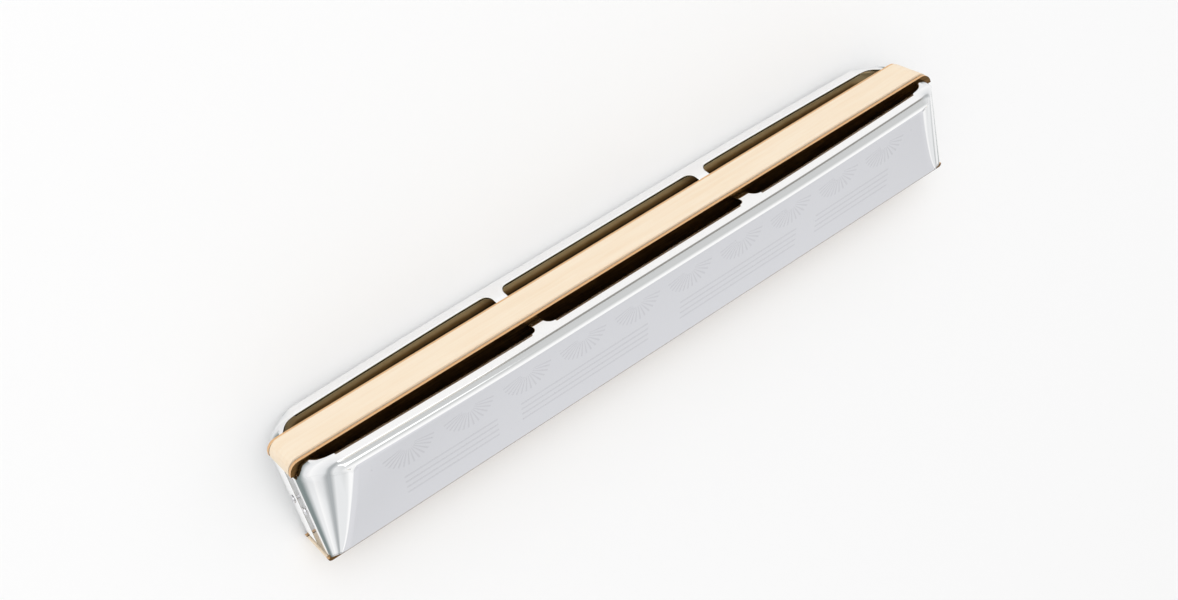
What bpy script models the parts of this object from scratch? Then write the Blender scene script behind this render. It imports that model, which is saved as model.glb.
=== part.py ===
# Tremolo harmonica with a wooden comb, two brass reed plates and two wrap-around covers.
# It is drawn with the comb level, then leant back so that it rests on the flat of its lower cover.
# Before that lean, X runs from the low notes to the high ones, the mouth is at -Y,
# the sound openings are at the back, y = 0, and z = 0 is the middle of the comb.

import math

import bmesh
import bpy
import numpy as np

MM = 0.001
GAP = 0.3 * MM

# Comb
COMB_LENGTH = 175.0 * MM
COMB_DEPTH = 26.7 * MM
COMB_HEIGHT = 8.6 * MM
COMB_CORNER = 3.0 * MM
MOUTH_CORNER = 0.9 * MM
NOTCH_DEPTH = 1.25 * MM
NOTCH_BACK = 3.06 * MM
NOTCH_FRONT = 25.7 * MM

# Reed plates and reeds
PLATE_THICKNESS = 0.8 * MM
PLATE_INSET_BACK = 0.4 * MM
PLATE_INSET_MOUTH = 0.2 * MM
COLUMNS = 24
PITCH = 6.9 * MM
CELL_WIDTH = 4.9 * MM
MIDDLE_WALL = 1.1 * MM
REED_LONGEST = 14.5 * MM
REED_SHORTEST = 8.0 * MM
REED_WIDTH = 2.3 * MM
REED_TIP_WIDTH = 2.1 * MM
REED_THICKNESS = 0.3 * MM
REED_FRONT_Y = -20.4 * MM
PAD_LENGTH = 3.2 * MM
PAD_WIDTH = 3.4 * MM
PAD_CHAMFER = 0.6 * MM
RIVET_RADIUS = 0.8 * MM
RIVET_HEIGHT = 0.4 * MM
SLOT_WIDTH = 2.7 * MM
SLOT_PAST_TIP = 0.25 * MM
SLOT_SHORT_OF_ROOT = 0.3 * MM
CELL_PAST_PAD = 0.3 * MM
CELL_PAST_TIP = 0.6 * MM

# Covers
SHEET = 0.45 * MM
COVER_FRONT_Y = -25.66 * MM
COVER_FRONT_Z = 6.4 * MM
COVER_FRONT_HALF = 85.0 * MM
COVER_BACK_HALF = 78.3 * MM
COVER_END = 87.0 * MM
FOLD_RADIUS = 1.3 * MM
FOLD_TOP_Z = 12.92 * MM
ARCH = 1.42 * MM
ARCH_FLAT_HALF = 35.0 * MM
ARCH_END_HALF = 87.5 * MM
ARCH_POWER = 1.4
WALL_Y = -1.0 * MM
HEM_Y = -0.65 * MM
CREASE_Z = 11.54 * MM
RIM_Z = 8.56 * MM
TAB_X = 28.2 * MM
TAB_HALF = 1.5 * MM
TAB_FILLET = 1.8 * MM
TAB_FOOT_Y = -1.3 * MM
FOOT_Z = 5.75 * MM
FLANGE_TOP_Z = 5.1 * MM
SEAM_Z = 0.15 * MM

# Pins that hold the covers to the ends of the comb
PIN_RADIUS = 0.45 * MM
PIN_HOLE_RADIUS = 0.78 * MM
PIN_HEAD_RADIUS = 0.95 * MM
PIN_HEAD_THICKNESS = 0.2 * MM
PIN_LENGTH = 4.3 * MM
PIN_HOLE_PAST_PIN = 0.4 * MM
PIN_UNDER_HEAD = 0.15 * MM
PIN_Y = -14.0 * MM
PIN_Z = 2.6 * MM

COMB_TOP = COMB_HEIGHT / 2
PLATE_LOW = COMB_TOP + GAP
PLATE_TOP = PLATE_LOW + PLATE_THICKNESS
CELL_OVERRUN = 1.0 * MM


def clear_scene():
    for item in list(bpy.data.objects):
        bpy.data.objects.remove(item, do_unlink=True)


def material(name, colour, roughness, metallic):
    made = bpy.data.materials.new(name)
    made.use_nodes = True
    shader = made.node_tree.nodes["Principled BSDF"]
    shader.inputs["Base Color"].default_value = (*colour, 1.0)
    shader.inputs["Roughness"].default_value = roughness
    shader.inputs["Metallic"].default_value = metallic
    made.diffuse_color = (*colour, 1.0)
    return made


def object_from(name, bm, finish=None):
    mesh = bpy.data.meshes.new(name)
    bm.to_mesh(mesh)
    bm.free()
    made = bpy.data.objects.new(name, mesh)
    bpy.context.scene.collection.objects.link(made)
    if finish:
        mesh.materials.append(finish)
    return made


def add_box(bm, low, high):
    """An axis-aligned box from its lowest to its highest corner."""
    corners = [
        bm.verts.new((x, y, z))
        for z in (low[2], high[2])
        for x, y in ((low[0], low[1]), (high[0], low[1]), (high[0], high[1]), (low[0], high[1]))
    ]
    bm.faces.new(corners[3::-1])
    bm.faces.new(corners[4:])
    for i in range(4):
        j = (i + 1) % 4
        bm.faces.new((corners[i], corners[j], corners[4 + j], corners[4 + i]))


def add_prism(bm, outline, low, high):
    """A flat outline, anticlockwise seen from above, extruded from z = low to z = high."""
    lower = [bm.verts.new((x, y, low)) for x, y in outline]
    upper = [bm.verts.new((x, y, high)) for x, y in outline]
    bm.faces.new(lower[::-1])
    bm.faces.new(upper)
    for i in range(len(outline)):
        j = (i + 1) % len(outline)
        bm.faces.new((lower[i], lower[j], upper[j], upper[i]))


def add_rod(bm, centre, radius, low_x, high_x, sides):
    """A round rod along X."""
    ring = [2 * math.pi * i / sides for i in range(sides)]
    ends = []
    for x in (low_x, high_x):
        ends.append(
            [
                bm.verts.new(
                    (x, centre[0] + radius * math.cos(a), centre[1] + radius * math.sin(a))
                )
                for a in ring
            ]
        )
    bm.faces.new(ends[0][::-1])
    bm.faces.new(ends[1])
    for i in range(sides):
        j = (i + 1) % sides
        bm.faces.new((ends[0][i], ends[0][j], ends[1][j], ends[1][i]))


def cutter(name, bm):
    made = object_from(name, bm)
    made.hide_render = True
    made.display_type = "WIRE"
    return made


def boolean(target, tool, operation):
    step = target.modifiers.new(tool.name, "BOOLEAN")
    step.operation = operation
    step.object = tool
    step.solver = "EXACT"


def arc(centre, radius, start, end, steps):
    """Points of an arc in the plane, from one angle in degrees to another."""
    angles = np.radians(np.linspace(start, end, steps + 1))
    return [(centre[0] + radius * math.cos(a), centre[1] + radius * math.sin(a)) for a in angles]


def plan_outline(back_inset, mouth_inset):
    """The comb seen from above: round back corners, and a notch in each end for the covers."""
    half = COMB_LENGTH / 2
    back = -back_inset
    mouth = -COMB_DEPTH + mouth_inset
    corner = COMB_CORNER - back_inset
    notch = half - NOTCH_DEPTH
    front = MOUTH_CORNER - mouth_inset
    right = arc((half - front, mouth + front), front, -90, 0, 2)
    right += [(half, -NOTCH_FRONT), (notch, -NOTCH_FRONT), (notch, -NOTCH_BACK), (half, -NOTCH_BACK)]
    right += arc((half - corner, back - corner), corner, 0, 90, 5)
    return right + [(-x, y) for x, y in reversed(right)]


def column_x(column):
    return (column - (COLUMNS - 1) / 2) * PITCH


def reed_length(column):
    """Reeds shorten from the low notes to the high ones, faster at first."""
    share = column / (COLUMNS - 1)
    return REED_LONGEST + (REED_SHORTEST - REED_LONGEST) * share**0.9


def is_blow(column):
    """Blow and draw notes take turns along the comb."""
    return column % 2 == 0


def reed_root_y(column):
    """A blow reed is riveted at its back end, a draw reed at its mouth end."""
    return REED_FRONT_Y + (reed_length(column) if is_blow(column) else 0.0)


def make_comb(finish):
    bm = bmesh.new()
    add_prism(bm, plan_outline(0.0, 0.0), -COMB_TOP, COMB_TOP)
    comb = object_from("comb", bm, finish)
    cells = bmesh.new()
    for column in range(COLUMNS):
        x = column_x(column)
        back = REED_FRONT_Y + reed_length(column)
        back += PAD_LENGTH + CELL_PAST_PAD if is_blow(column) else CELL_PAST_TIP
        for low, high in (
            (MIDDLE_WALL / 2, COMB_TOP + CELL_OVERRUN),
            (-COMB_TOP - CELL_OVERRUN, -MIDDLE_WALL / 2),
        ):
            add_box(
                cells,
                (x - CELL_WIDTH / 2, -COMB_DEPTH - CELL_OVERRUN, low),
                (x + CELL_WIDTH / 2, back, high),
            )
    boolean(comb, cutter("comb_cells", cells), "DIFFERENCE")
    holes = bmesh.new()
    for side in (-1, 1):
        for level in (-PIN_Z, PIN_Z):
            inner = side * (COVER_END + PIN_UNDER_HEAD - PIN_LENGTH - PIN_HOLE_PAST_PIN)
            outer = side * (COMB_LENGTH / 2 + CELL_OVERRUN)
            add_rod(holes, (PIN_Y, level), PIN_HOLE_RADIUS, min(inner, outer), max(inner, outer), 8)
    boolean(comb, cutter("comb_pin_holes", holes), "DIFFERENCE")
    return comb


def make_plate(name, side, finish, frame):
    """One reed plate above or below the comb, with a slot for each of its reeds."""
    faces = sorted((side * PLATE_LOW, side * PLATE_TOP))
    bm = bmesh.new()
    add_prism(bm, plan_outline(PLATE_INSET_BACK, PLATE_INSET_MOUTH), *faces)
    plate = object_from(name, bm, finish)
    slots = bmesh.new()
    for column in range(COLUMNS):
        x = column_x(column)
        length = reed_length(column)
        if is_blow(column):
            low, high = -SLOT_PAST_TIP, length - SLOT_SHORT_OF_ROOT
        else:
            low, high = SLOT_SHORT_OF_ROOT, length + SLOT_PAST_TIP
        add_box(
            slots,
            (x - SLOT_WIDTH / 2, REED_FRONT_Y + low, faces[0] - CELL_OVERRUN),
            (x + SLOT_WIDTH / 2, REED_FRONT_Y + high, faces[1] + CELL_OVERRUN),
        )
    tool = cutter(f"{name}_slots", slots)
    boolean(plate, tool, "DIFFERENCE")
    for item in (plate, tool):
        item.parent = frame


def reed_mesh(column, finish):
    """A reed along +Y with its root line on the origin, its rivet pad behind and its tongue ahead."""
    length = reed_length(column)
    half_pad = PAD_WIDTH / 2
    right = [
        (half_pad - PAD_CHAMFER, -PAD_LENGTH),
        (half_pad, -PAD_LENGTH + PAD_CHAMFER),
        (half_pad, -PAD_CHAMFER),
        (REED_WIDTH / 2, 0.0),
        (REED_TIP_WIDTH / 2, length),
    ]
    outline = right + [(-x, y) for x, y in reversed(right)]
    bm = bmesh.new()
    add_prism(bm, outline, -REED_THICKNESS / 2, REED_THICKNESS / 2)
    rivet = bmesh.new()
    add_prism(
        rivet,
        arc((0.0, -PAD_LENGTH / 2), RIVET_RADIUS, 0, 360 * 7 / 8, 7),
        0.0,
        REED_THICKNESS / 2 + RIVET_HEIGHT,
    )
    reed = object_from("reed", bm, finish)
    boolean(reed, cutter(f"rivet_{column + 1:02d}", rivet), "UNION")
    return reed


def make_reeds(finish, frame):
    """Each note has one reed on the upper plate and one below it, its mirror image."""
    for column in range(COLUMNS):
        blow = is_blow(column)
        # A blow reed hangs inside its cell, rivet down, and points to the mouth.
        height = PLATE_LOW - GAP - REED_THICKNESS / 2
        if not blow:
            height = PLATE_TOP + GAP + REED_THICKNESS / 2
        upper = reed_mesh(column, finish)
        upper.name = f"reed_top_{column + 1:02d}"
        lower = upper.copy()
        lower.name = f"reed_bottom_{column + 1:02d}"
        bpy.context.scene.collection.objects.link(lower)
        tool = upper.modifiers[0].object
        lower_tool = tool.copy()
        bpy.context.scene.collection.objects.link(lower_tool)
        lower.modifiers[0].object = lower_tool
        for reed, rivet, side in ((upper, tool, 1), (lower, lower_tool, -1)):
            for item in (reed, rivet):
                item.location = (column_x(column), reed_root_y(column), side * height)
                flip = math.pi if blow else 0.0
                item.rotation_euler = (flip, math.pi if side < 0 else 0.0, 0.0)
                item.parent = frame


def arch(x):
    """How far the cover's back edge rises over its ends: level in the middle, falling to the ends."""
    past = np.clip((abs(x) - ARCH_FLAT_HALF) / (ARCH_END_HALF - ARCH_FLAT_HALF), 0.0, 1.0)
    return ARCH * (1.0 - past**ARCH_POWER)


def face_slope(x):
    centre_y = WALL_Y - FOLD_RADIUS
    return (FOLD_TOP_Z + arch(x) - COVER_FRONT_Z) / (centre_y - COVER_FRONT_Y)


def face_z(x, y):
    """Height of the cover's sloping face."""
    return COVER_FRONT_Z + face_slope(x) * (y - COVER_FRONT_Y)


def fold_start_y(x):
    return WALL_Y - FOLD_RADIUS - FOLD_RADIUS * math.sin(math.atan(face_slope(x)))


def back_profile(x):
    """Points down the cover's back at one station: the rounded fold, the wall, the crease, the rim."""
    tilt = math.atan(face_slope(x))
    start_y = fold_start_y(x)
    centre_y = WALL_Y - FOLD_RADIUS
    centre_z = face_z(x, start_y) - FOLD_RADIUS * math.cos(tilt)
    points = []
    for angle in np.linspace(math.pi / 2 + tilt, 0.0, 4):
        points.append(
            (
                x,
                centre_y + FOLD_RADIUS * math.cos(angle),
                centre_z + FOLD_RADIUS * math.sin(angle),
            )
        )
    crease = CREASE_Z + arch(x)
    points.append((x, WALL_Y, crease + 0.12 * MM))
    points.append((x, HEM_Y, crease - 0.12 * MM))
    points.append((x, HEM_Y, RIM_Z + arch(x)))
    return points


def blend(a, b, share):
    return tuple(p + (q - p) * share for p, q in zip(a, b))


def end_profile(y):
    """Points down the cover's left end at one station: the facet, the slanting wall, the flange."""
    share = (y - COVER_FRONT_Y) / (-3.6 * MM - COVER_FRONT_Y)
    facet_x = -COVER_FRONT_HALF + 7.4 * MM * share**0.72
    facet = (facet_x, y, face_z(facet_x, y))
    brow_x = -COVER_FRONT_HALF - 0.05 * MM + 3.15 * MM * share
    brow = (brow_x, y, face_z(brow_x, y) - (0.2 + 1.9 * share) * MM)
    foot = (-COVER_END + 0.25 * MM, y, (5.65 + 0.45 * share) * MM)
    top = (-COVER_END, y, FLANGE_TOP_Z)
    seam = (-COVER_END, y, SEAM_Z)
    return [
        facet,
        blend(facet, brow, 0.35),
        blend(facet, brow, 0.7),
        brow,
        blend(brow, foot, 0.12),
        blend(brow, foot, 0.2),
        blend(brow, foot, 0.55),
        foot,
        top,
        seam,
    ]


def corner_profiles():
    """The cover's back left corner: three stations that swing from the end round to the back."""
    tip = (-COVER_BACK_HALF, fold_start_y(COVER_BACK_HALF))
    stations = (
        # wall top, rim and foot of each station, in plan and height
        ((-81.6, -2.4, 10.9), (-85.2, -2.5, 8.2), (-85.75, -2.2, 5.8)),
        ((-81.0, -1.5, 11.2), (-84.3, -1.3, 8.4), (-84.9, -1.2, 5.75)),
        ((-80.0, -1.0, 11.6), (-82.7, -0.75, 8.55), (-83.7, -0.9, 5.75)),
    )
    profiles = []
    for brow, rim, foot in stations:
        brow, rim, foot = (tuple(v * MM for v in point) for point in (brow, rim, foot))
        peak = (tip[0], tip[1], face_z(*tip))
        bulge = blend(peak, brow, 0.6)
        bulge = (bulge[0], bulge[1], bulge[2] + 0.35 * MM)
        profiles.append(
            [
                peak,
                blend(peak, bulge, 0.55),
                bulge,
                brow,
                blend(brow, rim, 0.1),
                blend(brow, rim, 0.18),
                rim,
                foot,
            ]
        )
    return profiles


def tab_sides(x):
    """The two sides of a tab below the rim, from the fillet down to the foot on the reed plate."""
    rim = RIM_Z + arch(x)
    rows = []
    for side in (-1, 1):
        rows.append(
            [
                (x + side * (TAB_HALF + 0.25 * TAB_FILLET), HEM_Y, rim - 0.5 * TAB_FILLET),
                (x + side * TAB_HALF, HEM_Y - 0.1 * MM, rim - TAB_FILLET),
                (x + side * TAB_HALF, TAB_FOOT_Y, FOOT_Z),
            ]
        )
    return rows


def cover_mesh(finish):
    """The upper cover as one sheet: face, ends, back wall, tabs and posts, thickened inwards."""
    bm = bmesh.new()
    made = {}

    def vertex(point):
        key = tuple(round(v * 1e7) for v in point)
        if key not in made:
            made[key] = bm.verts.new(point)
        return made[key]

    def face(*points):
        ring = []
        for point in points:
            corner = vertex(point)
            if corner not in ring:
                ring.append(corner)
        if len(ring) > 2:
            bm.faces.new(ring)

    def mirrored(point):
        return (-point[0], point[1], point[2])

    end_rows = [v * MM for v in (-25.5, -20.0, -14.0, -8.5, -3.6)]
    ends = [end_profile(y) for y in end_rows]
    corner = corner_profiles()
    half_stations = [v * MM for v in (78.3, 72.0, 63.0, 53.0, 43.0, 35.0)]
    tab_stations = [TAB_X + v for v in (TAB_HALF + TAB_FILLET, TAB_HALF, -TAB_HALF, -TAB_HALF - TAB_FILLET)]
    middle = half_stations + tab_stations + [12.0 * MM]
    stations = [-v for v in middle] + [v for v in reversed(middle)]
    back = [back_profile(x) for x in stations]

    left = ends + corner
    right = [[mirrored(p) for p in profile] for profile in reversed(left)]
    belt = left + back + right
    for first, second in zip(belt, belt[1:]):
        levels = min(len(first), len(second))
        if levels == len(corner[0]) and (first in back or second in back):
            levels = len(back[0])
        for k in range(levels - 1):
            face(first[k], first[k + 1], second[k + 1], second[k])

    # The sloping face: rows from the front edge to the start of the back fold.
    rows = []
    for y, profile in zip(end_rows, ends):
        edge = profile[0]
        row = [edge]
        for x in stations[1:-1]:
            spread = max(0.0, abs(x) - 53.0 * MM) / (COVER_BACK_HALF - 53.0 * MM)
            wide = x + math.copysign(spread * (-edge[0] - COVER_BACK_HALF), x)
            row.append((wide, y, face_z(wide, y)))
        rows.append(row + [mirrored(edge)])
    rows.append([profile[0] for profile in back])
    lip = [(p[0], p[1], FOOT_Z) for p in rows[0]]
    for lower, upper in zip([lip] + rows, rows):
        for j in range(len(stations) - 1):
            face(lower[j], lower[j + 1], upper[j + 1], upper[j])

    # The posts beside the outer windows.
    shoulder = back[0]
    post = corner[-1]
    inner = [
        shoulder[-1],
        tuple(v * MM for v in (-81.3, -0.7, 7.9)),
        tuple(v * MM for v in (-82.6, -0.85, 6.5)),
        tuple(v * MM for v in (-83.1, -0.9, 5.75)),
    ]
    edge = inner + [post[7]]
    for flip in (tuple, mirrored):
        for start, end in zip(edge, edge[1:]):
            face(flip(post[6]), flip(start), flip(end))

    # The tabs between the windows.
    for x in (-TAB_X, TAB_X):
        low, high = tab_sides(x)
        rim = [
            back_profile(x + v)[-1]
            for v in (-TAB_HALF - TAB_FILLET, -TAB_HALF, TAB_HALF, TAB_HALF + TAB_FILLET)
        ]
        face(rim[0], rim[1], low[0])
        face(rim[1], rim[2], high[0], low[0])
        face(rim[2], rim[3], high[0])
        face(low[0], high[0], high[1], low[1])
        face(low[1], high[1], high[2], low[2])

    bmesh.ops.recalc_face_normals(bm, faces=bm.faces)
    top = max(bm.faces, key=lambda f: f.calc_area())
    if top.normal.z < 0:
        bmesh.ops.reverse_faces(bm, faces=bm.faces)
    cover = object_from("cover_top", bm, finish)
    wall = cover.modifiers.new("sheet", "SOLIDIFY")
    wall.thickness = SHEET
    wall.offset = -1.0
    wall.use_even_offset = True
    return cover


def pin_hole_tool(name):
    holes = bmesh.new()
    for side in (-1, 1):
        ends = sorted((side * (COVER_END - CELL_OVERRUN), side * (COVER_END + CELL_OVERRUN)))
        add_rod(holes, (PIN_Y, PIN_Z), PIN_HOLE_RADIUS, ends[0], ends[1], 8)
    return cutter(name, holes)


def make_covers(finish, frame):
    upper = cover_mesh(finish)
    lower = upper.copy()
    lower.name = "cover_bottom"
    bpy.context.scene.collection.objects.link(lower)
    for cover, turn in ((upper, 0.0), (lower, math.pi)):
        tool = pin_hole_tool(f"{cover.name}_pin_holes")
        boolean(cover, tool, "DIFFERENCE")
        for item in (cover, tool):
            item.rotation_euler = (0.0, turn, 0.0)
            item.parent = frame


def make_pins(finish, frame):
    """Four headed pins, one through each end of each cover into the comb."""
    for side, side_name in ((-1, "left"), (1, "right")):
        for level, level_name in ((PIN_Z, "top"), (-PIN_Z, "bottom")):
            under_head = COVER_END + PIN_UNDER_HEAD
            top = under_head + PIN_HEAD_THICKNESS
            bm = bmesh.new()
            shank_end = (under_head + top) / 2
            add_rod(bm, (PIN_Y, level), PIN_RADIUS, under_head - PIN_LENGTH, shank_end, 8)
            head = bmesh.new()
            add_rod(head, (PIN_Y, level), PIN_HEAD_RADIUS, under_head, top, 12)
            pin = object_from(f"cover_pin_{level_name}_{side_name}", bm, finish)
            tool = cutter(f"{pin.name}_head", head)
            boolean(pin, tool, "UNION")
            for item in (pin, tool):
                if side < 0:
                    item.rotation_euler = (math.pi, 0.0, math.pi)
                item.parent = frame


def lean_back(frame):
    """Turns the part about X until the flat of the lower cover is level, and sets it on z = 0."""
    frame.rotation_euler = (math.atan(face_slope(0.0)), 0.0, 0.0)
    bpy.context.view_layer.update()
    corners = []
    graph = bpy.context.evaluated_depsgraph_get()
    for item in bpy.data.objects:
        if item.type == "MESH" and not item.hide_render:
            shape = item.evaluated_get(graph)
            corners += [shape.matrix_world @ v.co for v in shape.data.vertices]
    low = [min(c[k] for c in corners) for k in range(3)]
    high = [max(c[k] for c in corners) for k in range(3)]
    frame.location = (-(low[0] + high[0]) / 2, -(low[1] + high[1]) / 2, -low[2])


def main():
    clear_scene()
    wood = material("pale_wood", (0.86, 0.70, 0.50), 0.55, 0.0)
    plate_brass = material("plate_brass", (0.78, 0.60, 0.34), 0.35, 1.0)
    reed_brass = material("reed_brass", (0.85, 0.68, 0.40), 0.25, 1.0)
    chrome = material("chrome_sheet", (0.83, 0.84, 0.86), 0.12, 1.0)
    steel = material("pin_steel", (0.72, 0.72, 0.74), 0.3, 1.0)
    frame = bpy.data.objects.new("harmonica", None)
    bpy.context.scene.collection.objects.link(frame)
    comb = make_comb(wood)
    for item in [comb] + [step.object for step in comb.modifiers]:
        item.parent = frame
    make_plate("reed_plate_top", 1, plate_brass, frame)
    make_plate("reed_plate_bottom", -1, plate_brass, frame)
    make_reeds(reed_brass, frame)
    make_covers(chrome, frame)
    make_pins(steel, frame)
    lean_back(frame)


main()
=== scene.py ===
import math

import bmesh
import bpy
import numpy as np
from mathutils import Matrix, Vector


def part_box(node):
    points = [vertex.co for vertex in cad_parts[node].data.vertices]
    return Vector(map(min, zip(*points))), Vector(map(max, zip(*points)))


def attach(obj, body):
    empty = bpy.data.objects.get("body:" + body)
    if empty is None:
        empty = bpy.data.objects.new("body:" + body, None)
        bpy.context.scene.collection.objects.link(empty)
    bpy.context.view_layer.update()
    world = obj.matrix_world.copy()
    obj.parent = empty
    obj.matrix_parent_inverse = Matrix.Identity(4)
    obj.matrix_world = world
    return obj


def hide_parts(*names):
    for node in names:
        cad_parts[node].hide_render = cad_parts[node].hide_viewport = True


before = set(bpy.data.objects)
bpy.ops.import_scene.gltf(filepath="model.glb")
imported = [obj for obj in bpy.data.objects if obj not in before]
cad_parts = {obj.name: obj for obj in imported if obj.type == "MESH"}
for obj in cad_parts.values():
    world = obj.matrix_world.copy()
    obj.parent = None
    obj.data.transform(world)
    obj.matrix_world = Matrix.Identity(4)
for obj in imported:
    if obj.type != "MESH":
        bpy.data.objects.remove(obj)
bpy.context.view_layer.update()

mm = 0.001
mergeWithin = 1e-3  # points this close, in millimetres, are one point
collapseWithin = 1e-4

# The cover's driving sizes, in millimetres, with the comb level and its back face at y = 0.
coverLook = {
    "frontY": -25.66, "frontZ": 6.4, "frontHalf": 85.0, "backHalf": 78.3, "endX": 87.0,
    "foldRadius": 1.3, "foldTopZ": 12.92, "arch": 1.42, "archFlatHalf": 35.0, "archEndHalf": 87.5,
    "archPower": 1.4, "wallY": -1.0, "hemY": -0.65, "creaseZ": 11.54, "rimZ": 8.56,
    "tabX": 28.2, "tabHalf": 1.5, "tabFillet": 1.8, "tabFootY": -1.3,
    "footZ": 5.75, "flangeTopZ": 5.1, "seamZ": 0.15, "sheet": 0.45,
    "endBackY": -3.6, "endFrontY": -25.5, "creaseHalf": 0.12, "sharpDegrees": 32,
}

# An end of the cover. Each "grow" is what a size gains from the mouth to the back of the end.
endLook = {
    "facetGrow": 7.4, "facetPower": 0.72, "browOut": 0.05, "browGrow": 3.15, "browDrop": 0.2,
    "browDropGrow": 1.9, "footIn": 0.25, "footZ": 5.65, "footGrow": 0.45, "crown": 0.22,
    "firstStep": 0.12, "wallShares": (0.2, 0.55), "bend": (-0.05, 0, 0.03), "stations": 26,
}

# The camera, seen from the comb's own axes: where it stands and which way it looks.
cameraLook = {
    "place": (-141.997, 194.504, 262.704),
    "right": (0.790339, -0.228001, 0.568665),
    "up": (0.491681, 0.789807, -0.366680),
    "back": (-0.365532, 0.569403, 0.736319),
    "lens": 50.305, "sensor": 36.0,
}

combDepth = 26.7

# where the comb lies
slopeAtMiddle = (coverLook["foldTopZ"] + coverLook["arch"] - coverLook["frontZ"]) / (
    coverLook["wallY"] - coverLook["foldRadius"] - coverLook["frontY"])
lean = math.atan(slopeAtMiddle)
combLow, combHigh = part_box("comb")
combMiddle = (np.array(combLow) + np.array(combHigh)) / 2
leanTurn = np.array([[1, 0, 0],
                     [0, math.cos(lean), -math.sin(lean)],
                     [0, math.sin(lean), math.cos(lean)]])


# Points given from the comb's own axes in millimetres, turned by the lean and moved to the frame.
def toWorld(points):
    fromMiddle = np.asarray(points, float) - np.array([0.0, -combDepth / 2, 0.0])
    return fromMiddle @ leanTurn.T * mm + combMiddle


# A direction given from the comb's own axes, turned by the lean.
def toWorldDirection(direction):
    return leanTurn @ np.asarray(direction, float)


# mesh helpers
# One object from grids of points: each cell of a grid is a face, and points that meet are merged.
def meshObject(name, grids):
    verts, faces, levels, start = [], [], [], 0
    for grid, level in grids:
        rows, columns = grid.shape[:2]
        index = start + np.arange(rows * columns).reshape(rows, columns)
        quads = np.stack([index[:-1, :-1], index[1:, :-1], index[1:, 1:], index[:-1, 1:]], axis=-1)
        verts.append(grid.reshape(-1, 3))
        faces.append(quads.reshape(-1, 4))
        levels.append(np.broadcast_to(level, (rows, columns)).ravel())
        start += rows * columns
    mesh = bpy.data.meshes.new(name)
    mesh.from_pydata(np.concatenate(verts).tolist(), [], np.concatenate(faces).tolist())
    mesh.attributes.new("level", "FLOAT", "POINT").data.foreach_set("value", np.concatenate(levels))
    work = bmesh.new()
    work.from_mesh(mesh)
    bmesh.ops.remove_doubles(work, verts=work.verts, dist=mergeWithin)
    bmesh.ops.dissolve_degenerate(work, edges=work.edges, dist=collapseWithin)
    bmesh.ops.recalc_face_normals(work, faces=work.faces)
    work.to_mesh(mesh)
    work.free()
    places = np.empty(len(mesh.vertices) * 3)
    mesh.vertices.foreach_get("co", places)
    places = places.reshape(-1, 3)
    loops = np.empty(len(mesh.loops), int)
    mesh.loops.foreach_get("vertex_index", loops)
    uv = mesh.uv_layers.new(name="plan")
    uv.uv.foreach_set("vector", (places[loops][:, :2] / 10).ravel())
    mesh.vertices.foreach_set("co", toWorld(places).ravel())
    mesh.update()
    made = bpy.data.objects.new(name, mesh)
    bpy.context.scene.collection.objects.link(made)
    return made


# A smooth curve through values at the knots: each stretch is a cubic whose end slopes are means
# of its neighbours'.
def throughPoints(knots, values, at):
    knots, at = np.asarray(knots, float), np.asarray(at, float)
    steps = np.diff(knots)
    shape = (-1,) + (1,) * (values.ndim - 1)
    slopes = np.diff(values, axis=0) / steps.reshape(shape)
    inner = (slopes[1:] * steps[:-1].reshape(shape) + slopes[:-1] * steps[1:].reshape(shape)) / (
        steps[1:] + steps[:-1]).reshape(shape)
    tangents = np.concatenate([slopes[:1], inner, slopes[-1:]])
    stretch = np.clip(np.searchsorted(knots, at, side="right") - 1, 0, len(steps) - 1)
    width = steps[stretch].reshape(shape)
    t = ((at - knots[stretch]) / steps[stretch]).reshape(shape)
    fromHere = (2 * t**3 - 3 * t**2 + 1) * values[stretch]
    fromHere = fromHere + (t**3 - 2 * t**2 + t) * width * tangents[stretch]
    toNext = (3 * t**2 - 2 * t**3) * values[stretch + 1]
    return fromHere + toNext + (t**3 - t**2) * width * tangents[stretch + 1]


# Points on the straight lines from a to b at the given shares, on a new second axis.
def between(a, b, shares):
    return a[:, None, :] + (b - a)[:, None, :] * np.asarray(shares)[None, :, None]


# the covers
# Rise of the back edge: level in the middle, then falling by a power of the way to the ends.
def archRise(x):
    flat, end = coverLook["archFlatHalf"], coverLook["archEndHalf"]
    past = np.clip((np.abs(x) - flat) / (end - flat), 0, 1)
    return coverLook["arch"] * (1 - past ** coverLook["archPower"])


# Steepness of the sloping face: its rise from the front edge to the fold over its depth.
def faceSlope(x):
    foldY = coverLook["wallY"] - coverLook["foldRadius"]
    return (coverLook["foldTopZ"] + archRise(x) - coverLook["frontZ"]) / (foldY - coverLook["frontY"])


# The sloping face: a line from the front edge, as steep as the arch makes it at this x.
def faceHeight(x, y):
    return coverLook["frontZ"] + faceSlope(x) * (y - coverLook["frontY"])


# Where the face ends and the round fold begins: the point at which the fold's circle has the
# face's slope.
def foldStartY(x):
    return coverLook["wallY"] - coverLook["foldRadius"] * (1 + np.sin(np.arctan(faceSlope(x))))


foldSamples = 11
wallSamples = 4
faceCore = -4.0  # level of the open face, so that its edges can be told from it
straightHalf = 50  # the face's lines run straight back this far from the middle
tabLength = 3.4


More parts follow.
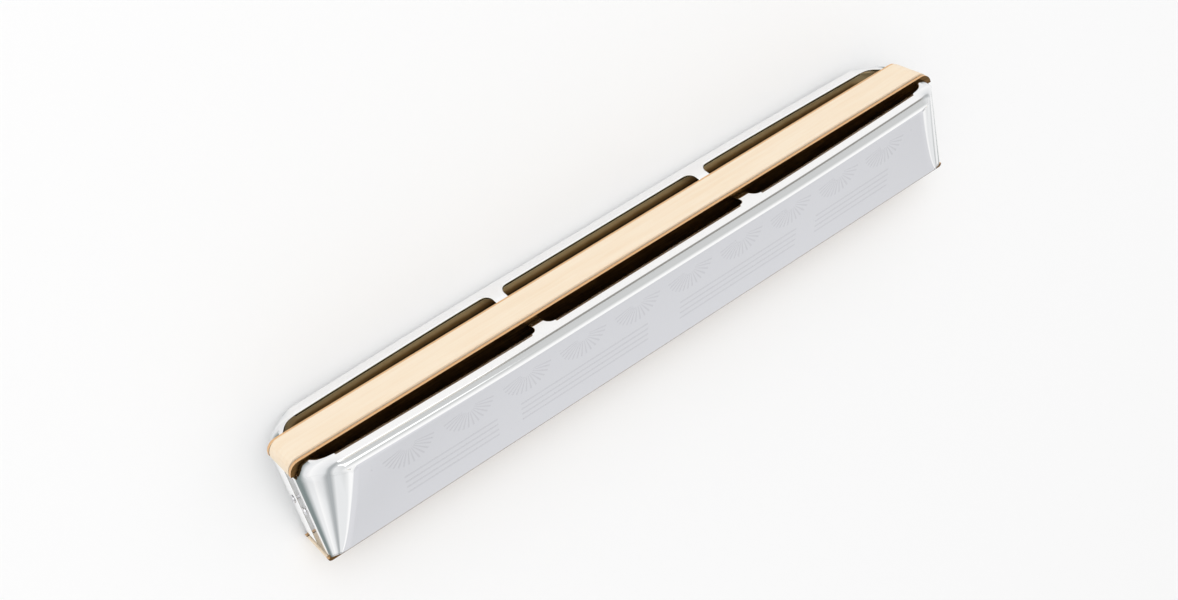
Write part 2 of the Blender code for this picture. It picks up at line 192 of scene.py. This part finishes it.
# Back of the cover at each x: a round fold, a wall down to the crease, a hem that stands proud,
# the rim.
def backProfiles(x):
    tilt = np.arctan(faceSlope(x))
    radius = coverLook["foldRadius"]
    centreY = coverLook["wallY"] - radius
    centreZ = faceHeight(x, foldStartY(x)) - radius * np.cos(tilt)
    angles = (math.pi / 2 + tilt)[:, None] * (1 - np.linspace(0, 1, foldSamples))[None, :]
    fold = np.stack([np.repeat(x[:, None], foldSamples, 1),
                     centreY + radius * np.cos(angles),
                     centreZ[:, None] + radius * np.sin(angles)], axis=-1)
    crease = coverLook["creaseZ"] + archRise(x)
    rim = coverLook["rimZ"] + archRise(x)
    wall, hem = coverLook["wallY"] + 0 * x, coverLook["hemY"] + 0 * x
    upper = np.stack([x, wall, crease + coverLook["creaseHalf"]], axis=-1)
    lower = np.stack([x, hem, crease - coverLook["creaseHalf"]], axis=-1)
    foot = np.stack([x, hem, rim], axis=-1)
    hemRows = between(lower, foot, np.linspace(0, 1, wallSamples))
    return np.concatenate([fold, upper[:, None], hemRows], axis=1)


# Left end at each y: a facet from the face's edge, a wall that slants out, and its foot.
def endProfiles(y):
    look = endLook
    share = (y - coverLook["frontY"]) / (coverLook["endBackY"] - coverLook["frontY"])
    facetX = -coverLook["frontHalf"] + look["facetGrow"] * share**look["facetPower"]
    facet = np.stack([facetX, y, faceHeight(facetX, y)], axis=-1)
    browX = -coverLook["frontHalf"] - look["browOut"] + look["browGrow"] * share
    browZ = faceHeight(browX, y) - look["browDrop"] - look["browDropGrow"] * share
    brow = np.stack([browX, y, browZ], axis=-1)
    footX = 0 * y - coverLook["endX"] + look["footIn"]
    foot = np.stack([footX, y, look["footZ"] + look["footGrow"] * share], axis=-1)
    over = between(facet, brow, np.linspace(0, 1, foldSamples))
    swell = np.sin(np.linspace(0, math.pi, foldSamples))
    over[:, :, 2] += look["crown"] * share[:, None] * swell[None, :]
    lowerShares = np.linspace(*look["wallShares"], wallSamples)
    wall = between(brow, foot, np.concatenate([[look["firstStep"]], lowerShares]))
    return np.concatenate([over, wall, foot[:, None]], axis=1)


# Three places round the corner, from the end to the back, and how the curve between them swells.
cornerStations = {
    "brow": [(-81.6, -2.4, 10.9), (-81.0, -1.5, 11.2), (-80.0, -1.0, 11.6)],
    "rim": [(-85.2, -2.5, 8.2), (-84.3, -1.3, 8.4), (-82.7, -0.75, 8.55)],
    "foot": [(-85.75, -2.2, 5.8), (-84.9, -1.2, 5.75), (-83.7, -0.9, 5.75)],
    "pull": 0.6, "lift": 0.75, "wallShare": 0.1, "hemShare": 0.18, "samples": 22, "spread": 0.05,
    "window": [(-80.2, -0.66, 8.5), (-81.4, -0.7, 7.8), (-82.3, -0.8, 6.8), (-83.1, -0.9, 5.75)],
}


# Three stations that swing round the corner: a crowned curve from the peak, then a wall to the
# foot.
def cornerProfiles():
    brow, rim, foot = (np.array(cornerStations[key]) for key in ("brow", "rim", "foot"))
    backX = np.array([-coverLook["backHalf"]])
    peak = np.stack([backX, foldStartY(backX), faceHeight(backX, foldStartY(backX))], axis=-1)[0]
    peaks = np.repeat(peak[None], len(brow), 0)
    pull = peaks + (brow - peaks) * cornerStations["pull"] + [0, 0, cornerStations["lift"]]
    t = np.linspace(0, 1, foldSamples)[None, :, None]
    over = (1 - t) ** 2 * peaks[:, None] + 2 * t * (1 - t) * pull[:, None] + t**2 * brow[:, None]
    wall = between(brow, rim, [cornerStations["wallShare"]])
    hemTop = brow + (rim - brow) * cornerStations["hemShare"]
    hem = between(hemTop, rim, np.linspace(0, 1, wallSamples))
    return np.concatenate([over, wall, hem, foot[:, None]], axis=1)


# A tab between two windows: its sides are quarter circles under the rim, then run straight down
# to the plate.
def tabGrid(shares, flare):
    fillet, middle = coverLook["tabFillet"], coverLook["tabX"]
    down = np.concatenate([np.linspace(0, 1, 9)[:-1] ** 1.5 * fillet, [fillet, tabLength]])
    inFillet = np.clip(fillet - down, 0, None)
    halfWide = flare - np.sqrt(np.clip(fillet**2 - inFillet**2, 0, None))
    x = middle + shares[None, :] * halfWide[:, None]
    top = coverLook["rimZ"] + archRise(middle + shares * flare)
    drop = down[:, None] / down[-1]
    z = top[None, :] * (1 - drop) + coverLook["footZ"] * drop
    y = coverLook["hemY"] + (coverLook["tabFootY"] - coverLook["hemY"]) * drop**1.5 + 0 * x
    return np.stack([x, y, z], axis=-1)


# Below the rim at one end: the end wall's foot with the post at the corner, the flange, which
# bends down to the seam, and the sheet that closes the window with its curved edge.
def footGrids(ends, turn, feet):
    last = foldSamples + wallSamples
    drop = np.linspace(0, 1, 5)
    rims = np.concatenate([ends[:, last], turn[1:len(feet), last]])
    soles = np.concatenate([ends[:, -1], feet[1:]])
    post = (between(rims, soles, drop), last + drop)
    onEnd = ends[:, -1] * [0, 1, 0] - [coverLook["endX"], 0, 0]
    knee = onEnd + [0, 0, coverLook["flangeTopZ"]]
    seam = onEnd + [0, 0, coverLook["seamZ"]]
    bend = (ends[:, -1] + knee) / 2 + endLook["bend"]
    flange = (np.stack([ends[:, -1], bend, knee, seam], axis=1), last + 1.0 + np.arange(4))
    rimRun = turn[len(feet) - 1:, last][::-1]
    postRun = between(rims[-1:], soles[-1:], drop)[0]
    outer = np.concatenate([rimRun, postRun[1:]])
    edge = np.array([rimRun[0], *cornerStations["window"]])
    edgeKnots = np.linspace(0, len(outer) - 1, len(edge))
    inner = throughPoints(edgeKnots, edge, np.arange(len(outer)))
    window = (between(outer, inner, np.linspace(0, 1, 4)), last)
    return [post, flange, window]


# A cover as one sheet: the face, the belt of profiles round its ends and back, flanges, posts
# and tabs. It is worked out for the upper side, and the side (1 or -1) flips its height.
def makeCover(name, side):
    last = foldSamples + wallSamples  # the rim's place in a profile
    endY = np.linspace(coverLook["endFrontY"], coverLook["endBackY"], endLook["stations"])
    ends = endProfiles(endY)
    corner = cornerProfiles()
    flare = coverLook["tabHalf"] + coverLook["tabFillet"]
    tabShares = np.linspace(-1, 1, 13)
    half = np.concatenate([
        np.linspace(0, coverLook["tabX"] - flare, 14),
        coverLook["tabX"] + tabShares * flare,
        np.linspace(coverLook["tabX"] + flare, coverLook["backHalf"], 30)])
    half = np.unique(half.round(6))
    backX = np.concatenate([-half[::-1], half[1:]])
    back = backProfiles(backX)
    # The corner is a smooth run of stations between the last end profile and the first back one.
    stops = np.concatenate([ends[-2:, :last + 1], corner[:, :last + 1], back[:2]])
    strides = np.linalg.norm(np.diff(stops[:, foldSamples], axis=0), axis=1)
    knots = np.concatenate([[0], np.cumsum(strides + cornerStations["spread"])])
    at = np.linspace(knots[1], knots[-2], cornerStations["samples"])
    at = np.unique(np.concatenate([at, knots[2:-2]]).round(6))
    turn = throughPoints(knots, stops, at)
    footStops = np.concatenate([ends[-2:, -1], corner[:, -1]])
    feet = throughPoints(knots[:-2], footStops, at[at <= knots[-3] + 1e-6])
    mirror = np.array([-1, 1, 1])
    leftEnd, leftTurn = ends[:, :last + 1], turn[1:-1]
    belt = np.concatenate([leftEnd, leftTurn, back, leftTurn[::-1] * mirror, leftEnd[::-1] * mirror])
    grids = [(belt, np.arange(last + 1.0))]
    # The sloping face, its side edges on the facets and its back edge on the fold.
    edgeX = np.concatenate([ends[:, 0, 0], [-coverLook["backHalf"]]])
    rowY = np.concatenate([endY, [0.0]])
    wide = np.clip((np.abs(backX) - straightHalf) / (coverLook["backHalf"] - straightHalf), 0, 1)
    widen = (np.sign(backX) * wide)[None, :] * (-edgeX[:, None] - coverLook["backHalf"])
    faceX = backX[None, :] + widen
    faceY = np.repeat(rowY[:, None], len(backX), 1)
    faceY[-1] = foldStartY(backX)
    face = np.stack([faceX, faceY, faceHeight(faceX, faceY)], axis=-1)
    faceLevel = np.full(face.shape[:2], faceCore)
    faceLevel[-1], faceLevel[:, 0], faceLevel[:, -1] = 0, 0, 0
    grids.append((face, faceLevel))
    lip = face[0] * [1, 1, 0] + [0, 0, coverLook["footZ"]]
    grids.append((np.stack([lip, face[0]]), faceCore))
    ending = [*footGrids(ends, turn, feet), (tabGrid(tabShares, flare), last)]
    grids += ending + [(grid * mirror, level) for grid, level in ending]
    grids = [(grid * [1, 1, side], level) for grid, level in grids]
    cover = meshObject(name, grids)
    mesh = cover.data
    normal = toWorldDirection((0, 0, side))
    largest = max(mesh.polygons, key=lambda polygon: polygon.area)
    if np.dot(np.array(largest.normal), normal) < 0:
        mesh.flip_normals()
    mesh.shade_smooth()
    mesh.set_sharp_from_angle(angle=math.radians(coverLook["sharpDegrees"]))
    sheet = cover.modifiers.new("sheet", "SOLIDIFY")
    sheet.thickness = coverLook["sheet"] * mm
    sheet.offset = -1
    sheet.use_even_offset = True
    sheet.thickness_clamp = 1.0
    sheet.material_offset = 1
    sheet.material_offset_rim = 2
    return cover


# materials
# A new material with its nodes, links and shader.
def newMaterial(name):
    made = bpy.data.materials.new(name)
    made.use_nodes = True
    return made, made.node_tree.nodes, made.node_tree.links, made.node_tree.nodes["Principled BSDF"]


# A Math node. Each operand is a socket or a number.
def mathNode(nodes, links, operation, first, second=None):
    node = nodes.new("ShaderNodeMath")
    node.operation = operation
    for socket, value in zip(node.inputs, (first, second)):
        if value is None:
            continue
        if isinstance(value, (int, float)):
            socket.default_value = value
        else:
            links.new(value, socket)
    return node.outputs[0]


# A colour ramp with (place, colour) stops.
def ramp(nodes, links, source, stops):
    node = nodes.new("ShaderNodeValToRGB")
    links.new(source, node.inputs[0])
    elements = node.color_ramp.elements
    while len(elements) < len(stops):
        elements.new(0.5)
    for element, (place, colour) in zip(elements, stops):
        element.position = place
        element.color = (*colour, 1)
    return node.outputs[0]


# Object coordinates turned back by the lean, so that a grain runs along the comb.
def leanMapping(nodes, links, scale):
    source = nodes.new("ShaderNodeTexCoord")
    mapping = nodes.new("ShaderNodeMapping")
    mapping.inputs["Rotation"].default_value = (-lean, 0, 0)
    links.new(source.outputs["Object"], mapping.inputs["Vector"])
    stretch = nodes.new("ShaderNodeVectorMath")
    stretch.operation = "MULTIPLY"
    stretch.inputs[1].default_value = scale
    links.new(mapping.outputs[0], stretch.inputs[0])
    return stretch.outputs[0]


def noise(nodes, links, vector, scale, detail, roughness):
    node = nodes.new("ShaderNodeTexNoise")
    node.inputs["Scale"].default_value = scale
    node.inputs["Detail"].default_value = detail
    node.inputs["Roughness"].default_value = roughness
    links.new(vector, node.inputs["Vector"])
    return node.outputs["Fac"]


def bump(nodes, links, height, strength, distance):
    node = nodes.new("ShaderNodeBump")
    node.inputs["Strength"].default_value = strength
    node.inputs["Distance"].default_value = distance
    links.new(height, node.inputs["Height"])
    return node.outputs[0]


woodLook = {
    "pale": (0.93, 0.79, 0.61), "dark": (0.90, 0.73, 0.53), "roughness": 0.5,
    "grain": (14.0, 200.0, 200.0), "grainBump": 0.1,
}


# Pale wood: noise stretched along the comb gives its grain.
def makeWood():
    made, nodes, links, shader = newMaterial("pale_wood_look")
    along = leanMapping(nodes, links, woodLook["grain"])
    grain = noise(nodes, links, along, 4.0, 6.0, 0.6)
    colour = ramp(nodes, links, grain, [(0.3, woodLook["dark"]), (0.62, woodLook["pale"])])
    links.new(colour, shader.inputs["Base Color"])
    shader.inputs["Roughness"].default_value = woodLook["roughness"]
    links.new(bump(nodes, links, grain, woodLook["grainBump"], 0.00005), shader.inputs["Normal"])
    return made


# The plates' faces are painted very dark brass: painted shade for the hollow behind the windows. Their
# cut edges keep the brass's own tan colour.
plateBrassShadeLook = {
    "bright": (0.20, 0.11, 0.04), "dull": (0.10, 0.055, 0.02), "roughness": (0.3, 0.45),
    "edge": (0.80, 0.51, 0.27), "edgeZ": 5.0, "edgeReach": 0.398,
}
reedLook = {"bright": (0.55, 0.38, 0.16), "dull": (0.38, 0.25, 0.10), "roughness": (0.2, 0.35)}
# Colour of the covers' insides by plan depth: bright gold at the windows fading to near black inside,
# painted light and painted shade.
insideLightAndShadeLook = {
    "plan": (-0.64, -0.36), "stir": 0.04, "metallic": 0.25, "roughness": 0.35,
    "stops": [(0.0, (0.012, 0.007, 0.004)), (0.35, (0.06, 0.03, 0.01)), (0.6, (0.40, 0.22, 0.07)),
              (0.8, (0.95, 0.68, 0.32)), (1.0, (1.0, 0.80, 0.45))],
}
# The sheet's cut edges are painted dark olive: a painted reflection of the dark surroundings that they
# face.
rimPaintedDarkLook = {"bright": (0.22, 0.19, 0.11), "dull": (0.14, 0.12, 0.07), "roughness": (0.3, 0.45)}
pinLook = {"bright": (0.78, 0.78, 0.8), "dull": (0.6, 0.6, 0.62), "roughness": (0.2, 0.35)}


# 1 on a plate's cut edges, which lie between its two faces: their height over the comb's middle
# is within a reach of the plate's own middle.
def cutEdgeMask(nodes, links, look):
    parts = nodes.new("ShaderNodeSeparateXYZ")
    links.new(leanMapping(nodes, links, (1 / mm,) * 3), parts.inputs[0])
    middle = float((leanTurn.T @ combMiddle)[2] / mm)
    height = mathNode(nodes, links, "SUBTRACT", parts.outputs["Z"], middle)
    height = mathNode(nodes, links, "ABSOLUTE", height)
    away = mathNode(nodes, links, "ABSOLUTE", mathNode(nodes, links, "SUBTRACT", height, look["edgeZ"]))
    return mathNode(nodes, links, "LESS_THAN", away, look["edgeReach"])


# The first colour where the share is 0, the second where it is 1. A colour is a socket or three
# numbers.
def mixColour(nodes, links, share, first, second):
    node = nodes.new("ShaderNodeMix")
    node.data_type = "RGBA"
    links.new(share, node.inputs[0])
    for socket, colour in ((node.inputs[6], first), (node.inputs[7], second)):
        if isinstance(colour, tuple):
            socket.default_value = (*colour, 1)
        else:
            links.new(colour, socket)
    return node.outputs[2]


# The sheet's bare back: golden near the windows, dark and dull further in. The bright gold near the
# windows is painted light, and the fade to near black further in is painted shade.
def makeInsideLightAndShade():
    made, nodes, links, shader = newMaterial("cover_inside_painted_light_look")
    plan = nodes.new("ShaderNodeUVMap")
    plan.uv_map = "plan"
    parts = nodes.new("ShaderNodeSeparateXYZ")
    links.new(plan.outputs[0], parts.inputs[0])
    depth = nodes.new("ShaderNodeMapRange")
    depth.inputs["From Min"].default_value, depth.inputs["From Max"].default_value = insideLightAndShadeLook["plan"]
    cloud = noise(nodes, links, plan.outputs[0], 2.5, 3.0, 0.5)
    stir = mathNode(nodes, links, "MULTIPLY", cloud, insideLightAndShadeLook["stir"])
    shaken = mathNode(nodes, links, "ADD", parts.outputs["Y"], stir)
    links.new(shaken, depth.inputs["Value"])
    colour = ramp(nodes, links, depth.outputs[0], insideLightAndShadeLook["stops"])
    links.new(colour, shader.inputs["Base Color"])
    shader.inputs["Metallic"].default_value = insideLightAndShadeLook["metallic"]
    shader.inputs["Roughness"].default_value = insideLightAndShadeLook["roughness"]
    return made


# Metal with fine streaks along the comb, which move its colour, roughness and surface together.
def makeBrass(name, look):
    made, nodes, links, shader = newMaterial(name)
    across = leanMapping(nodes, links, (60.0, 900.0, 900.0))
    streaks = noise(nodes, links, across, 3.0, 5.0, 0.6)
    colour = ramp(nodes, links, streaks, [(0.3, look["dull"]), (0.7, look["bright"])])
    # On the plates the cut edges get the brass's own colour, while the faces keep their painted shade.
    if "edge" in look:
        colour = mixColour(nodes, links, cutEdgeMask(nodes, links, look), colour, look["edge"])
    links.new(colour, shader.inputs["Base Color"])
    low, high = look["roughness"]
    rough = ramp(nodes, links, streaks, [(0.3, (low,) * 3), (0.7, (high,) * 3)])
    links.new(rough, shader.inputs["Roughness"])
    shader.inputs["Metallic"].default_value = 1.0
    links.new(bump(nodes, links, streaks, 0.1, 0.00002), shader.inputs["Normal"])
    return made


# Tones of the sheet: face is the chrome's own colour and line the engraving's; fold and hem are painted
# highlights, end is a lighter painted reflection, and wall, crease and the dark band and streak are
# painted shade.
chromeAndPaintedLightLook = {
    "face": (0.70, 0.705, 0.735), "fold": (0.97, 0.97, 0.97), "wall": (0.60, 0.61, 0.61),
    "crease": (0.30, 0.29, 0.27), "hem": (0.95, 0.95, 0.95), "end": (0.80, 0.81, 0.82),
    "paintedShadeBand": (0.22, 0.26, 0.26), "line": (0.53, 0.53, 0.56), "paintedShadeStreak": (0.42, 0.44, 0.45),
    "roughness": 0.09, "hairlines": 0.05, "hairStretch": (0.4, 40.0, 1.0), "hairScale": 3.0,
    "lineStrength": 0.45, "engraveBump": 0.4, "endBlend": (-0.05, 0.2),
}
# Line ornament, in plan centimetres: a row of small fans under the fold, and groups of fine
# lines lower down.
ornamentLook = {
    "fanPitch": 2.9, "fanFirst": 1.45, "fanY": -0.55, "fanInner": 0.16, "fanOuter": 0.62,
    "fanRays": 15, "rayHalf": 0.17, "fansHalf": 7.4, "underFold": 0.02,
    "lineGroups": [(-5.6, 1.15), (-2.15, 1.7), (2.15, 1.7), (5.6, 1.15)],
    "lineY": -1.72, "lineHalf": 0.34, "linePitch": 0.17, "lineShare": 0.3, "lineStart": 10.0,
    "depth": 0.00003,
}
levelSpan = (faceCore, foldSamples + wallSamples + 4.0)


# Where a level of the profile falls between the lowest and the highest one.
def levelPlace(level):
    return (level - levelSpan[0]) / (levelSpan[1] - levelSpan[0])


# A mask of engraved lines from plan coordinates: 1 on a line and 0 between them.
def makeOrnamentGroup():
    look = ornamentLook
    group = bpy.data.node_groups.new("cover_ornament", "ShaderNodeTree")
    group.interface.new_socket("Plan", in_out="INPUT", socket_type="NodeSocketVector")
    group.interface.new_socket("Mask", in_out="OUTPUT", socket_type="NodeSocketFloat")
    nodes, links = group.nodes, group.links
    source, out = nodes.new("NodeGroupInput"), nodes.new("NodeGroupOutput")
    parts = nodes.new("ShaderNodeSeparateXYZ")
    links.new(source.outputs[0], parts.inputs[0])
    x, y = parts.outputs["X"], parts.outputs["Y"]

    def calc(operation, first, second=None):
        return mathNode(nodes, links, operation, first, second)

    # Fans: the plan is folded at every fan's middle, and rays run out from a point under the fold.
    fromFirst = calc("ADD", x, look["fanFirst"] + 10 * look["fanPitch"])
    across = calc("SUBTRACT", calc("PINGPONG", fromFirst, look["fanPitch"] / 2), look["fanPitch"] / 4)
    down = calc("SUBTRACT", y, look["fanY"])
    reach = calc("SQRT", calc("ADD", calc("MULTIPLY", across, across), calc("MULTIPLY", down, down)))
    angle = calc("ARCTAN2", across, calc("MULTIPLY", down, -1.0))
    turn = calc("MULTIPLY", angle, look["fanRays"] / math.pi)
    fromRay = calc("ABSOLUTE", calc("SUBTRACT", calc("FRACT", turn), 0.5))
    ray = calc("LESS_THAN", fromRay, look["rayHalf"])
    past = calc("GREATER_THAN", reach, look["fanInner"])
    ring = calc("MULTIPLY", past, calc("LESS_THAN", reach, look["fanOuter"]))
    below = calc("LESS_THAN", down, -look["underFold"])
    inside = calc("LESS_THAN", calc("ABSOLUTE", x), look["fansHalf"])
    mask = calc("MULTIPLY", calc("MULTIPLY", ray, ring), calc("MULTIPLY", below, inside))
    # Groups of lines along the cover.
    fromLine = calc("ABSOLUTE", calc("SUBTRACT", y, look["lineY"]))
    rows = calc("LESS_THAN", fromLine, look["lineHalf"])
    count = calc("DIVIDE", calc("ADD", y, look["lineStart"]), look["linePitch"])
    strokes = calc("LESS_THAN", calc("FRACT", count), look["lineShare"])
    columns = None
    for middle, half in look["lineGroups"]:
        near = calc("LESS_THAN", calc("ABSOLUTE", calc("SUBTRACT", x, middle)), half)
        columns = near if columns is None else calc("MAXIMUM", columns, near)
    lines = calc("MULTIPLY", calc("MULTIPLY", rows, strokes), columns)
    links.new(calc("MAXIMUM", mask, lines), out.inputs[0])
    return group


# Polished sheet. The level attribute, which counts the steps of a profile from the face's edge to the
# flange, sets its tone and where light and shade are painted into it: one row of tones for the back,
# another for the ends.
def makeChrome():
    made, nodes, links, shader = newMaterial("chrome_painted_light_look")
    plan = nodes.new("ShaderNodeUVMap")
    plan.uv_map = "plan"
    level = nodes.new("ShaderNodeAttribute")
    level.attribute_name = "level"
    share = nodes.new("ShaderNodeMapRange")
    share.inputs["From Min"].default_value, share.inputs["From Max"].default_value = levelSpan
    links.new(level.outputs["Fac"], share.inputs["Value"])
    wallTop, crease, rim = foldSamples - 1, foldSamples + 0.5, foldSamples + wallSamples
    # Painted highlight on the fold and hem, painted shade on the wall and in the crease; on the ends,
    # painted shade in the streak and band and a lighter painted reflection.
    backPaintedLightTones = [
        (faceCore, "face"), (-1.0, "face"), (-0.3, "fold"), (1.5, "fold"), (4.0, "wall"),
        (wallTop, "wall"), (crease - 0.3, "crease"), (crease + 0.2, "crease"),
        (crease + 0.5, "hem"), (rim, "hem")]
    endPaintedLightTones = [
        (faceCore, "face"), (-0.6, "face"), (-0.2, "fold"), (0.5, "fold"), (2.0, "end"),
        (wallTop - 2.5, "end"), (wallTop - 0.6, "paintedShadeStreak"), (wallTop + 0.4, "paintedShadeStreak"),
        (crease + 1.0, "end"), (rim - 0.5, "hem"), (rim + 0.35, "end"), (rim + 0.8, "paintedShadeBand"),
        (rim + 2.1, "paintedShadeBand"), (rim + 2.5, "hem")]
    backTone, endTone = (
        ramp(nodes, links, share.outputs[0], [(levelPlace(at), chromeAndPaintedLightLook[key]) for at, key in tones])
        for tones in (backPaintedLightTones, endPaintedLightTones))
    planParts = nodes.new("ShaderNodeSeparateXYZ")
    links.new(plan.outputs[0], planParts.inputs[0])
    fromMiddle = mathNode(nodes, links, "ABSOLUTE", planParts.outputs["X"])
    toEnd = nodes.new("ShaderNodeMapRange")
    low, high = (coverLook["backHalf"] / 10 + past for past in chromeAndPaintedLightLook["endBlend"])
    toEnd.inputs["From Min"].default_value, toEnd.inputs["From Max"].default_value = low, high
    links.new(fromMiddle, toEnd.inputs["Value"])
    tone = mixColour(nodes, links, toEnd.outputs[0], backTone, endTone)
    ornament = nodes.new("ShaderNodeGroup")
    ornament.node_tree = makeOrnamentGroup()
    links.new(plan.outputs[0], ornament.inputs["Plan"])
    onFace = mathNode(nodes, links, "LESS_THAN", level.outputs["Fac"], faceCore + 0.01)
    engraved = mathNode(nodes, links, "MULTIPLY", ornament.outputs["Mask"], onFace)
    lineShare = mathNode(nodes, links, "MULTIPLY", engraved, chromeAndPaintedLightLook["lineStrength"])
    colour = mixColour(nodes, links, lineShare, tone, chromeAndPaintedLightLook["line"])
    links.new(colour, shader.inputs["Base Color"])
    cut = bump(nodes, links, engraved, chromeAndPaintedLightLook["engraveBump"], -ornamentLook["depth"])
    links.new(cut, shader.inputs["Normal"])
    stretch = nodes.new("ShaderNodeVectorMath")
    stretch.operation = "MULTIPLY"
    stretch.inputs[1].default_value = chromeAndPaintedLightLook["hairStretch"]
    links.new(plan.outputs[0], stretch.inputs[0])
    hair = noise(nodes, links, stretch.outputs[0], chromeAndPaintedLightLook["hairScale"], 3.0, 0.5)
    low, high = chromeAndPaintedLightLook["roughness"], chromeAndPaintedLightLook["roughness"] + chromeAndPaintedLightLook["hairlines"]
    rough = ramp(nodes, links, hair, [(0.3, (low,) * 3), (0.7, (high,) * 3)])
    links.new(rough, shader.inputs["Roughness"])
    shader.inputs["Metallic"].default_value = 1.0
    return made


# A carried-over solid gets the given material on all its slots.
def dress(node, material):
    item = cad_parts[node]
    for slot in item.material_slots:
        slot.material = material
    if not item.material_slots:
        item.data.materials.append(material)


wood = makeWood()
plateBrassShade = makeBrass("plate_brass_painted_shade_look", plateBrassShadeLook)
reedBrass = makeBrass("reed_brass_look", reedLook)
coverInsideLightAndShade = makeInsideLightAndShade()
coverRimPaintedDark = makeBrass("cover_rim_painted_reflection_look", rimPaintedDarkLook)
chrome = makeChrome()
pinSteel = makeBrass("pin_steel_look", pinLook)
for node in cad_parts:
    if node == "comb":
        dress(node, wood)
    elif node.startswith("reed_plate"):
        dress(node, plateBrassShade)
    elif node.startswith("reed_"):
        dress(node, reedBrass)
    elif node.startswith("cover_pin"):
        dress(node, pinSteel)
    else:
        dress(node, chrome)
print("materials made")

coverPieces = [("cover_sheet_top", 1, "cover_top"), ("cover_sheet_bottom", -1, "cover_bottom")]
for name, side, node in coverPieces:
    cover = makeCover(name, side)
    for material in (chrome, coverInsideLightAndShade, coverRimPaintedDark):
        cover.data.materials.append(material)
    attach(cover, "body")
    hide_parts(node)
print("covers made")

# floor, light and camera
stageLook = {
    "floor": (0.93, 0.93, 0.93), "floorHalf": 3.0, "world": 0.82,
    "keyPlace": (-0.3, 0.6, 1.4), "keySize": 1.2, "keyPower": 7.0,
}


# One square, level with the object's lowest point.
def makeFloor():
    half = stageLook["floorHalf"]
    mesh = bpy.data.meshes.new("floor")
    corners = [(-half, -half, 0), (half, -half, 0), (half, half, 0), (-half, half, 0)]
    mesh.from_pydata(corners, [], [(0, 1, 2, 3)])
    floor = bpy.data.objects.new("floor", mesh)
    bpy.context.scene.collection.objects.link(floor)
    made, nodes, links, shader = newMaterial("floor_look")
    shader.inputs["Base Color"].default_value = (*stageLook["floor"], 1)
    shader.inputs["Roughness"].default_value = 0.9
    mesh.materials.append(made)


# A white world, dimmer as a light than it looks to the camera and in reflections.
def makeWorld():
    world = bpy.data.worlds.new("studio")
    bpy.context.scene.world = world
    world.use_nodes = True
    nodes, links = world.node_tree.nodes, world.node_tree.links
    nodes.clear()
    path = nodes.new("ShaderNodeLightPath")
    seen = mathNode(nodes, links, "MAXIMUM", path.outputs["Is Camera Ray"],
                    path.outputs["Is Glossy Ray"])
    soft = nodes.new("ShaderNodeBackground")
    soft.inputs["Strength"].default_value = stageLook["world"]
    bright = nodes.new("ShaderNodeBackground")
    bright.inputs["Strength"].default_value = 1.0
    for node in (soft, bright):
        node.inputs["Color"].default_value = (1, 1, 1, 1)
    mix = nodes.new("ShaderNodeMixShader")
    links.new(seen, mix.inputs[0])
    links.new(soft.outputs[0], mix.inputs[1])
    links.new(bright.outputs[0], mix.inputs[2])
    out = nodes.new("ShaderNodeOutputWorld")
    links.new(mix.outputs[0], out.inputs[0])


# A square soft box at a place in metres, turned to the middle of the object.
def makeLamp(name, place, size, power):
    lamp = bpy.data.lights.new(name, "AREA")
    lamp.size = size
    lamp.energy = power
    item = bpy.data.objects.new(name, lamp)
    item.location = place
    direction = -np.array(place)
    item.rotation_euler = (math.atan2(math.hypot(direction[0], direction[1]), -direction[2]), 0,
                           math.atan2(direction[0], -direction[1]) + math.pi)
    bpy.context.scene.collection.objects.link(item)


# The camera's axes and place, turned by the lean with the comb.
def makeCamera():
    camera = bpy.data.cameras.new("camera")
    camera.sensor_width = cameraLook["sensor"]
    camera.lens = cameraLook["lens"]
    camera.clip_start = 0.01
    item = bpy.data.objects.new("camera", camera)
    bpy.context.scene.collection.objects.link(item)
    axes = np.stack([toWorldDirection(cameraLook[key]) for key in ("right", "up", "back")], axis=1)
    whole = np.eye(4)
    whole[:3, :3] = axes
    whole[:3, 3] = toWorld([cameraLook["place"]])[0]
    item.matrix_world = Matrix(whole.tolist())
    bpy.context.scene.camera = item


makeFloor()
makeWorld()
makeLamp("key", stageLook["keyPlace"], stageLook["keySize"], stageLook["keyPower"])
makeCamera()
bpy.context.scene.view_settings.view_transform = "Standard"
print("stage made")
